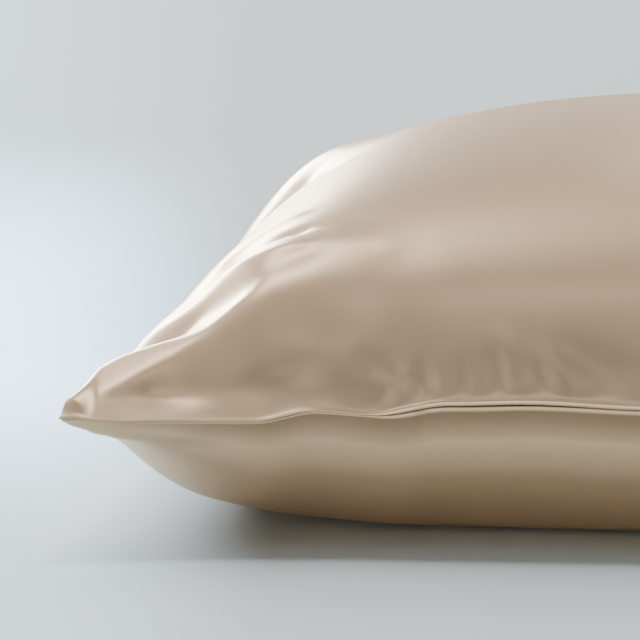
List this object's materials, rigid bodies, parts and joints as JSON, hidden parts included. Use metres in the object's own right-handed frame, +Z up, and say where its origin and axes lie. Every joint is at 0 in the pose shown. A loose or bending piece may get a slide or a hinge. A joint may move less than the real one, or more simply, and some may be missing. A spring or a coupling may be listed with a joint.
{
  "type": "filled pillowcase",
  "caption": "Filled satin bed pillowcase lying flat: crowned face, drawn-in sides, pointed corner ears and a lipped mouth at one end.",
  "frame": {"origin": "on the surface that the pillowcase lies on, under the middle of its bounding box", "axes": "X along the mouth end, +Y from the mouth end to the closed end, +Z up"},
  "size_m": [0.502, 0.6576, 0.1735],
  "materials": {
    "satin": "champagne satin weave, smooth, with a soft broad sheen"
  },
  "bodies": {
    "root": {"face_panel": "satin", "back_panel": "satin"}
  },
  "joints": []
}
